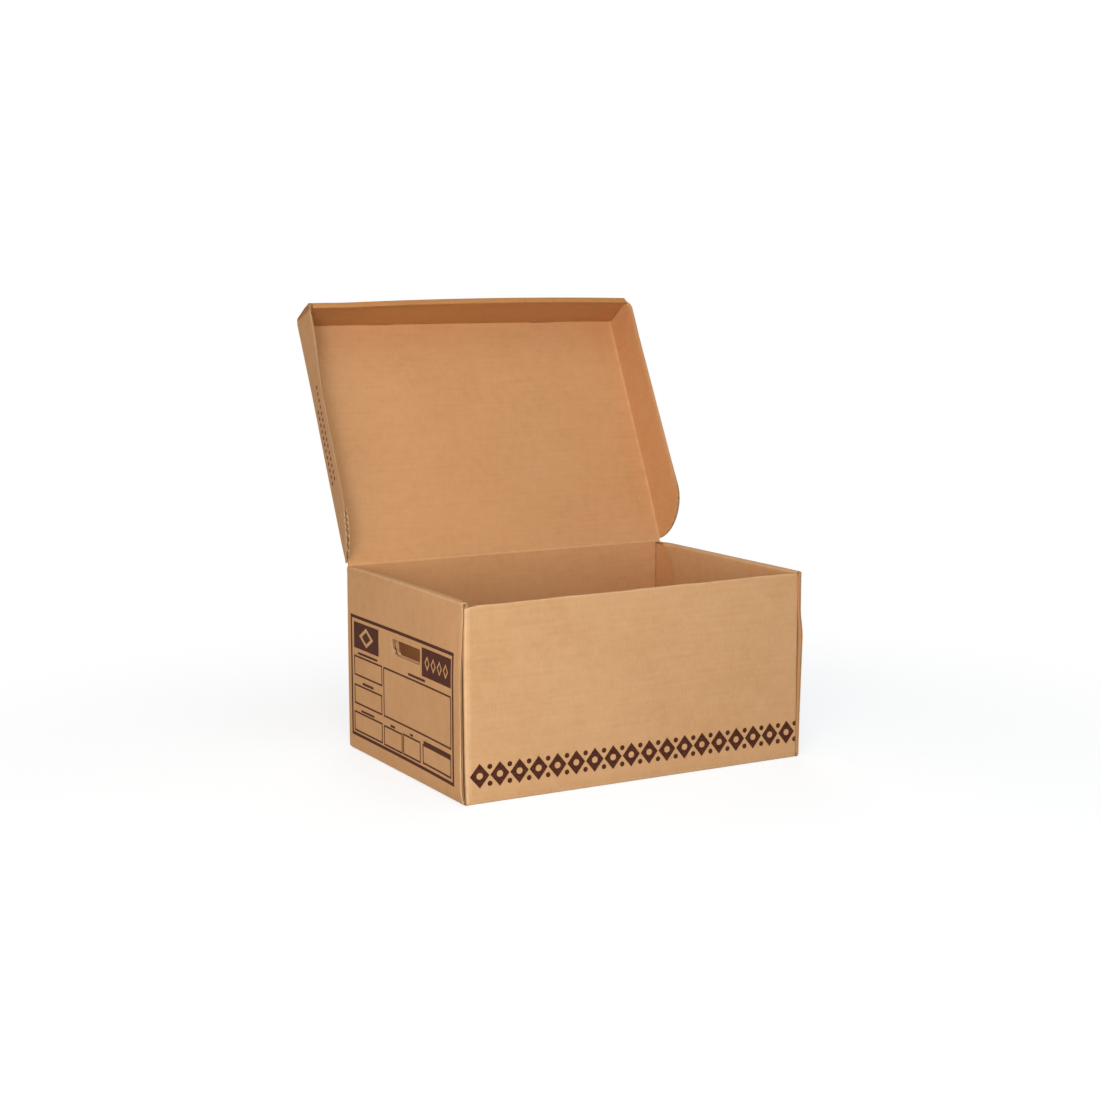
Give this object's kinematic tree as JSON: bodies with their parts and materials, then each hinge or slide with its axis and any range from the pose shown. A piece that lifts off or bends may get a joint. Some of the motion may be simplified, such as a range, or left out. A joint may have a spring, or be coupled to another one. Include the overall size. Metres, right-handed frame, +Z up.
{
  "type": "archive box",
  "caption": "Folded corrugated cardboard archive box with rolled-over double ends, hand holes and an attached skirted lid that swings back on a crease.",
  "frame": {"origin": "on the supporting surface, under the middle of the box's floor", "axes": "+X along the long side, -Y towards the front, away from the lid's hinge, +Z up"},
  "size_m": [0.513, 0.5013, 0.6047],
  "materials": {
    "kraft_board": "matte kraft liner",
    "kraft_board_inside": "matte kraft liner, inner layer"
  },
  "bodies": {
    "box": {"floor_panel": "kraft_board", "front_wall": "kraft_board", "back_wall": "kraft_board", "left_wall_outer": "kraft_board", "left_wall_roll": "kraft_board", "left_wall_inner": "kraft_board_inside", "right_wall_outer": "kraft_board", "right_wall_roll": "kraft_board", "right_wall_inner": "kraft_board_inside", "front_left_corner_flap": "kraft_board_inside", "front_right_corner_flap": "kraft_board_inside", "back_left_corner_flap": "kraft_board_inside", "back_right_corner_flap": "kraft_board_inside", "lid_hinge_crease": "kraft_board"},
    "lid": {"lid_panel": "kraft_board", "lid_front_skirt": "kraft_board", "lid_front_roll": "kraft_board", "lid_front_inner": "kraft_board_inside", "lid_left_skirt": "kraft_board", "lid_right_skirt": "kraft_board", "lid_left_tab": "kraft_board_inside", "lid_right_tab": "kraft_board_inside"}
  },
  "joints": [
    {"name": "lid_hinge", "type": "hinge", "parent": "box", "child": "lid", "pos_m": [0, 0.173, 0.2525], "axis": [-1, 0, 0], "range_deg": [-115, 105]}
  ]
}
